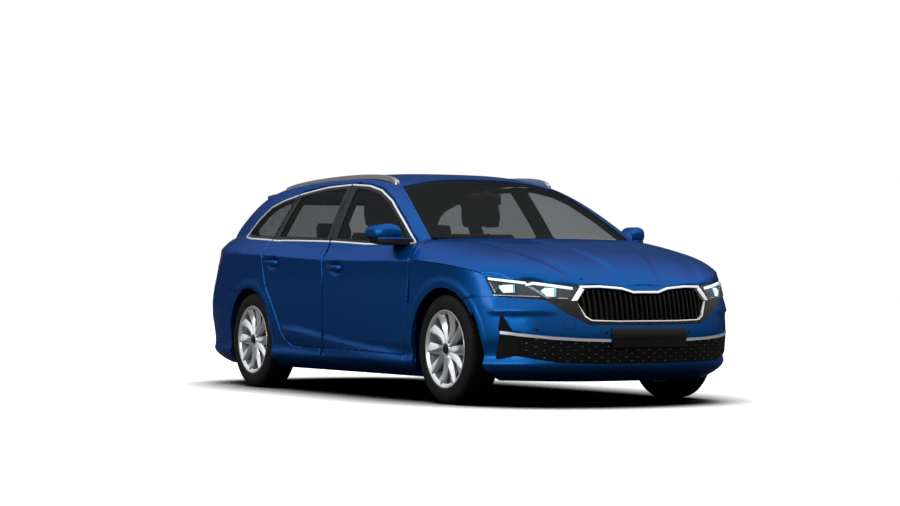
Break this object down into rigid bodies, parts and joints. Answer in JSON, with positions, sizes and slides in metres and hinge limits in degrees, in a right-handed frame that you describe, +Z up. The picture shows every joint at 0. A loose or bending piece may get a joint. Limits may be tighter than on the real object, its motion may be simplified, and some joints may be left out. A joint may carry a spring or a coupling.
{
  "type": "station wagon",
  "caption": "Estate car with opening doors, bonnet and tailgate, steered front wheels and free-turning wheels.",
  "frame": {"origin": "on the ground under the centre of the car", "axes": "+X forward, +Y to the car's left, +Z up"},
  "size_m": [4.6845, 2.012, 1.4544],
  "materials": {
    "paint": "gloss metallic",
    "bumper_paint": "gloss metallic",
    "tinted_glass": "tinted",
    "clear_lamp": "clear",
    "red_lamp": "gloss",
    "black_plastic": "satin",
    "cabin_plastic": "matt",
    "seat_cloth": "matt",
    "dark_steel": "satin",
    "cast_steel": "satin",
    "alloy": "satin",
    "rail_metal": "satin",
    "tyre_rubber": "matt"
  },
  "bodies": {
    "chassis": {"body_side_right": "paint", "body_side_left": "paint", "roof_panel": "paint", "windscreen": "tinted_glass", "fender_right": "paint", "fender_left": "paint", "front_bumper": "bumper_paint", "rear_bumper": "bumper_paint", "grilles": "black_plastic", "headlamps": "clear_lamp", "tail_lamps": "red_lamp", "quarter_glass": "tinted_glass", "floor_pan": "dark_steel", "front_subframe": "dark_steel", "rear_axle": "dark_steel", "dashboard": "cabin_plastic", "front_seats": "seat_cloth", "rear_bench": "seat_cloth", "engine_block": "cast_steel", "roof_rails": "rail_metal"},
    "bonnet": {"bonnet": "paint"},
    "tailgate": {"tailgate": "paint", "tailgate_glass": "tinted_glass", "tailgate_lamps": "red_lamp"},
    "steering_wheel": {"steering_wheel": "cabin_plastic"},
    "door_front_right": {"door_front_right": "paint", "glass_front_right": "tinted_glass", "mirror_right": "bumper_paint"},
    "door_rear_right": {"door_rear_right": "paint", "glass_rear_right": "tinted_glass"},
    "steering_right": {"knuckle_right": "cast_steel"},
    "wheel_front_right": {"tyre_front_right": "tyre_rubber", "rim_front_right": "alloy"},
    "wheel_rear_right": {"tyre_rear_right": "tyre_rubber", "rim_rear_right": "alloy"},
    "door_front_left": {"door_front_left": "paint", "glass_front_left": "tinted_glass", "mirror_left": "bumper_paint"},
    "door_rear_left": {"door_rear_left": "paint", "glass_rear_left": "tinted_glass"},
    "steering_left": {"knuckle_left": "cast_steel"},
    "wheel_front_left": {"tyre_front_left": "tyre_rubber", "rim_front_left": "alloy"},
    "wheel_rear_left": {"tyre_rear_left": "tyre_rubber", "rim_rear_left": "alloy"}
  },
  "joints": [
    {"name": "door_front_right_hinge", "type": "hinge", "parent": "chassis", "child": "door_front_right", "pos_m": [1.06, -0.8925, 0.6], "axis": [0, 0, 1], "range_deg": [0, 68]},
    {"name": "door_rear_right_hinge", "type": "hinge", "parent": "chassis", "child": "door_rear_right", "pos_m": [-0.104, -0.8925, 0.6], "axis": [0, 0, 1], "range_deg": [0, 68]},
    {"name": "steer_right", "type": "hinge", "parent": "chassis", "child": "steering_right", "pos_m": [1.4645, -0.7195, 0.328], "axis": [0, 0, 1], "range_deg": [-35, 35]},
    {"name": "wheel_front_right_spin", "type": "hinge", "parent": "steering_right", "child": "wheel_front_right", "pos_m": [1.4645, -0.7715, 0.328], "axis": [0, 1, 0], "continuous": true},
    {"name": "wheel_rear_right_spin", "type": "hinge", "parent": "chassis", "child": "wheel_rear_right", "pos_m": [-1.2215, -0.7715, 0.328], "axis": [0, 1, 0], "continuous": true},
    {"name": "door_front_left_hinge", "type": "hinge", "parent": "chassis", "child": "door_front_left", "pos_m": [1.06, 0.8925, 0.6], "axis": [0, 0, -1], "range_deg": [0, 68]},
    {"name": "door_rear_left_hinge", "type": "hinge", "parent": "chassis", "child": "door_rear_left", "pos_m": [-0.104, 0.8925, 0.6], "axis": [0, 0, -1], "range_deg": [0, 68]},
    {"name": "steer_left", "type": "hinge", "parent": "chassis", "child": "steering_left", "pos_m": [1.4645, 0.7195, 0.328], "axis": [0, 0, 1], "range_deg": [-35, 35]},
    {"name": "wheel_front_left_spin", "type": "hinge", "parent": "steering_left", "child": "wheel_front_left", "pos_m": [1.4645, 0.7715, 0.328], "axis": [0, 1, 0], "continuous": true},
    {"name": "wheel_rear_left_spin", "type": "hinge", "parent": "chassis", "child": "wheel_rear_left", "pos_m": [-1.2215, 0.7715, 0.328], "axis": [0, 1, 0], "continuous": true},
    {"name": "steering_wheel_turn", "type": "hinge", "parent": "chassis", "child": "steering_wheel", "pos_m": [0.545, 0.375, 0.862], "axis": [-0.9061, 0, 0.4231], "range_deg": [-495, 495]},
    {"name": "bonnet_hinge", "type": "hinge", "parent": "chassis", "child": "bonnet", "pos_m": [1.075, 0, 0.965], "axis": [0, -1, 0], "range_deg": [0, 50]},
    {"name": "tailgate_hinge", "type": "hinge", "parent": "chassis", "child": "tailgate", "pos_m": [-1.68, 0, 1.388], "axis": [0, 1, 0], "range_deg": [0, 80]}
  ],
  "couplings": [
    {"joint": "steer_left", "follows": "steer_right", "ratio": 1},
    {"joint": "steering_wheel_turn", "follows": "steer_right", "ratio": 14}
  ]
}
